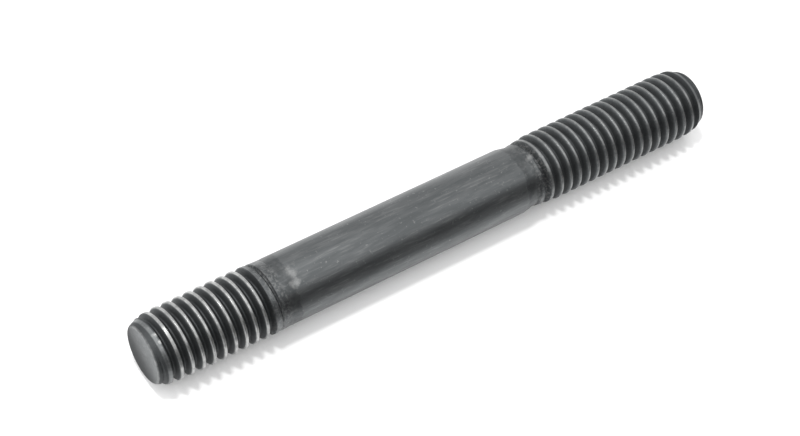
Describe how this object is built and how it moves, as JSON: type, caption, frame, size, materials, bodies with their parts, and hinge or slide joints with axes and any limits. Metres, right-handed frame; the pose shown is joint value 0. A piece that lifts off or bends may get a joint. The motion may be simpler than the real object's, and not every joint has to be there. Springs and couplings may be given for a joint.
{
  "type": "double ended stud",
  "caption": "Steel stud bolt with a long and a short right-hand threaded end either side of a plain shank, dark oxide finish.",
  "frame": {"origin": "centre of the longer, nut end's face, on which the stud stands", "axes": "+Z along the stud's axis, from the nut end up to the shorter, tap end; X and Y are square to it and the stud is the same all round, apart from its thread"},
  "size_m": [0.0078, 0.0078, 0.071],
  "materials": {
    "oxide_steel": "black oxide, dull, worn bright on the thread crests"
  },
  "bodies": {
    "root": {"stud": "oxide_steel"}
  },
  "joints": []
}
